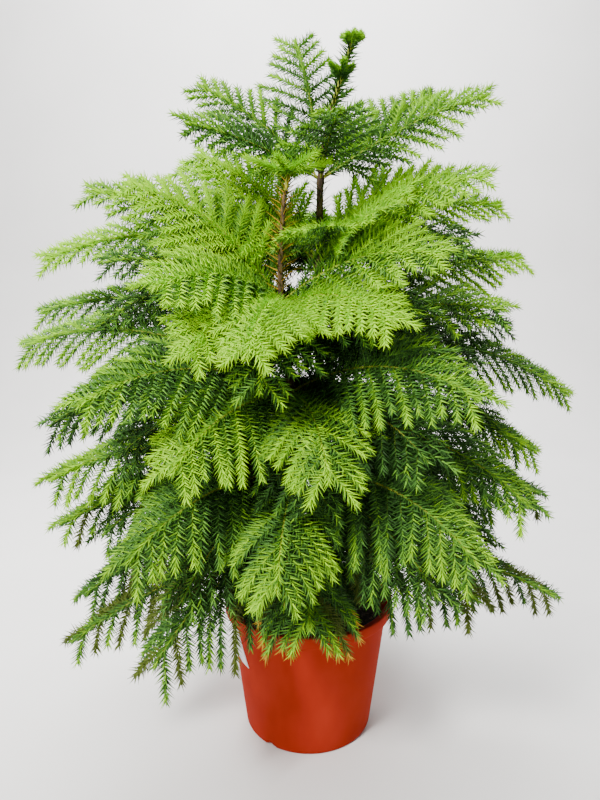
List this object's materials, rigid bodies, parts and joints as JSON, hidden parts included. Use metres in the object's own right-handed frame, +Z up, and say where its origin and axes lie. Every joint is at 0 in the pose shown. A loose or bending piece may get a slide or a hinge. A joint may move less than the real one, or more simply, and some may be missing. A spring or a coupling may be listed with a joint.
{
  "type": "potted norfolk island pine",
  "caption": "Potted Norfolk Island pine, a living Christmas tree: tiers of soft needled fronds on a clump of upright stems in a round terracotta-red nursery pot.",
  "frame": {"origin": "centre of the pot's flat underside, on the floor", "axes": "+Z up along the pot's axis, -Y towards the front of the plant as pictured, +X to its right"},
  "size_m": [0.8379, 0.6532, 1.0192],
  "materials": {
    "pot": "satin moulded",
    "soil": "rough, crumbly",
    "bark": "rough bark",
    "needles_rear": "soft needles",
    "needles_fore": "soft needles"
  },
  "bodies": {
    "root": {"fore_stem": "bark", "fore_tier1_frond1": "needles_fore", "fore_tier1_frond2": "needles_fore", "fore_tier1_frond3": "needles_fore", "fore_tier1_frond4": "needles_fore", "fore_tier2_frond1": "needles_fore", "fore_tier2_frond2": "needles_fore", "fore_tier2_frond3": "needles_fore", "fore_tier2_frond4": "needles_fore", "fore_tier3_frond1": "needles_fore", "fore_tier3_frond2": "needles_fore", "fore_tier3_frond3": "needles_fore", "fore_tier3_frond4": "needles_fore", "fore_tier4_bough1": "bark", "fore_tier4_bough2": "bark", "fore_tier4_bough3": "bark", "fore_tier4_bough4": "bark", "fore_tier4_frond1": "needles_fore", "fore_tier4_frond2": "needles_fore", "fore_tier4_frond3": "needles_fore", "fore_tier4_frond4": "needles_fore", "fore_tip": "needles_fore", "pot": "pot", "rear_stem": "bark", "rear_tier1_frond1": "needles_rear", "rear_tier1_frond2": "needles_rear", "rear_tier1_frond3": "needles_rear", "rear_tier1_frond4": "needles_rear", "rear_tier1_frond5": "needles_rear", "rear_tier1_frond6": "needles_rear", "rear_tier2_frond1": "needles_rear", "rear_tier2_frond2": "needles_rear", "rear_tier2_frond3": "needles_rear", "rear_tier2_frond4": "needles_rear", "rear_tier2_frond5": "needles_rear", "rear_tier3_frond1": "needles_rear", "rear_tier3_frond2": "needles_rear", "rear_tier3_frond3": "needles_rear", "rear_tier3_frond4": "needles_rear", "rear_tier3_frond5": "needles_rear", "rear_tier4_frond1": "needles_rear", "rear_tier4_frond2": "needles_rear", "rear_tier4_frond3": "needles_rear", "rear_tier4_frond4": "needles_rear", "rear_tier4_frond5": "needles_rear", "rear_tier5_frond1": "needles_rear", "rear_tier5_frond2": "needles_rear", "rear_tier5_frond3": "needles_rear", "rear_tier5_frond4": "needles_rear", "rear_tier5_frond5": "needles_rear", "rear_tier6_bough1": "bark", "rear_tier6_bough2": "bark", "rear_tier6_bough3": "bark", "rear_tier6_bough4": "bark", "rear_tier6_frond1": "needles_rear", "rear_tier6_frond2": "needles_rear", "rear_tier6_frond3": "needles_rear", "rear_tier6_frond4": "needles_rear", "rear_tip": "needles_rear", "soil": "soil"}
  },
  "joints": []
}
